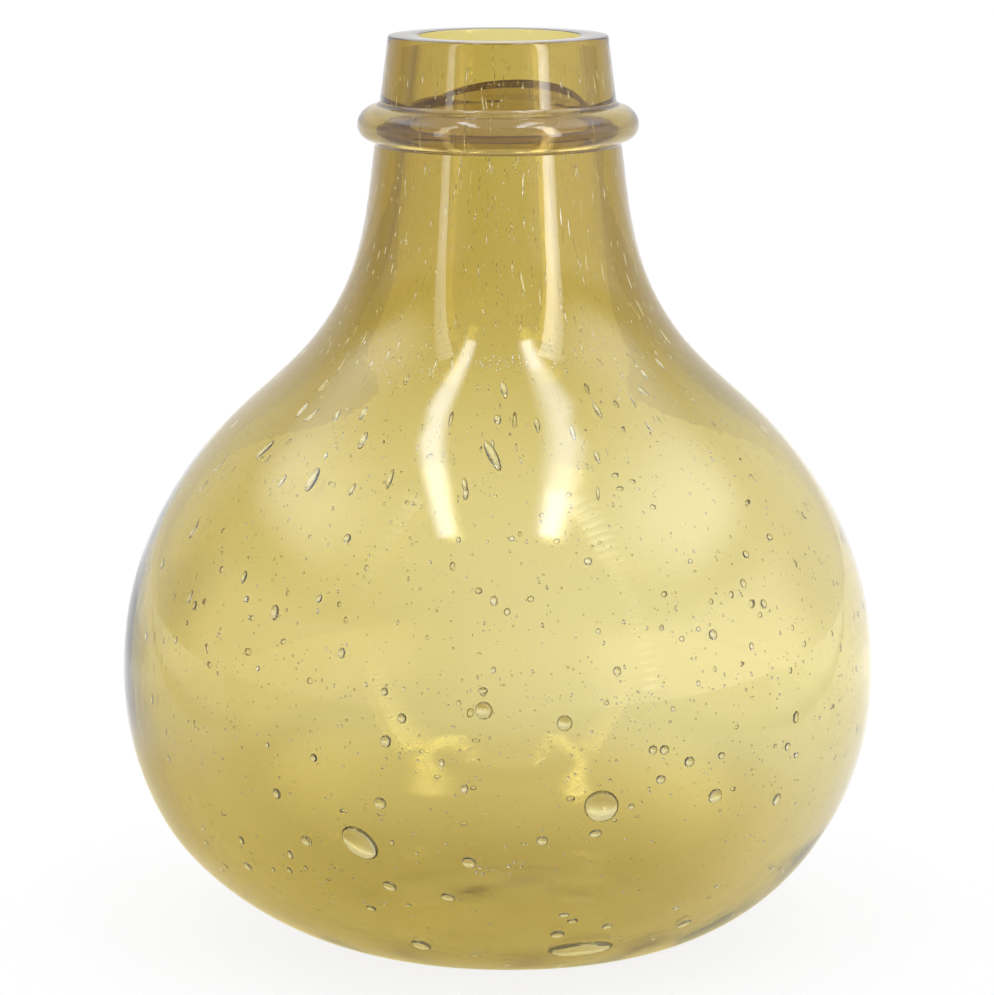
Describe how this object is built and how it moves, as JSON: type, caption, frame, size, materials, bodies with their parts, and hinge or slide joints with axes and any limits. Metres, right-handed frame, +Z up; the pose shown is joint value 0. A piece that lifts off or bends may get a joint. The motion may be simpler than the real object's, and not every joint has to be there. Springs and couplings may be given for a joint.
{
  "type": "glass demijohn",
  "caption": "Squat free-blown olive glass demijohn with seeded walls, a thick tapering neck, a cut and ground wide mouth and an applied string ring.",
  "frame": {"origin": "on the ground, under the middle of the belly's outline, on the axis of body and neck", "axes": "+Z up along the axis of body and neck, the picture looks along +Y, and the foot is set aside along +X"},
  "size_m": [0.2258, 0.2258, 0.27],
  "materials": {
    "seeded_glass": "fire-polished free-blown glass full of seeds, with a satin ground rim",
    "trailed_glass": "fire-polished trailed glass"
  },
  "bodies": {
    "root": {"vessel": "seeded_glass", "neck_ring": "trailed_glass"}
  },
  "joints": []
}
